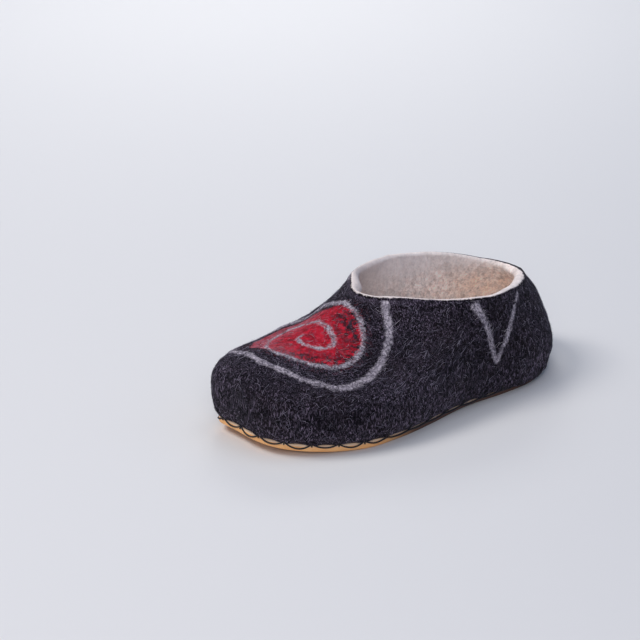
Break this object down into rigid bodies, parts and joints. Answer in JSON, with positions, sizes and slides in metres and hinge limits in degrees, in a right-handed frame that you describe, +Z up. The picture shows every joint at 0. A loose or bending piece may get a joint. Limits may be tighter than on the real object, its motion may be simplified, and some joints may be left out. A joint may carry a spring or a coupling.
{
  "type": "felt slipper",
  "caption": "Low closed-back house slipper of thick moulded wool felt, with a rounded toe, an open collar that slopes down to the heel, a felt footbed and a thin stitched-on leather sole.",
  "frame": {"origin": "on the floor, under the middle of the slipper's bounding box", "axes": "+Z up; the toe points along -Y and the heel along +Y; +X is the outer (little toe) side of the left foot"},
  "size_m": [0.1086, 0.2608, 0.0836],
  "materials": {
    "charcoal_felt": "matt heathered wool felt, red and pale wool pattern felted into it",
    "cream_felt": "matt undyed wool felt",
    "tan_leather": "smooth vegetable tanned leather"
  },
  "bodies": {
    "root": {"upper": "charcoal_felt", "insole": "cream_felt", "sole": "tan_leather"}
  },
  "joints": []
}
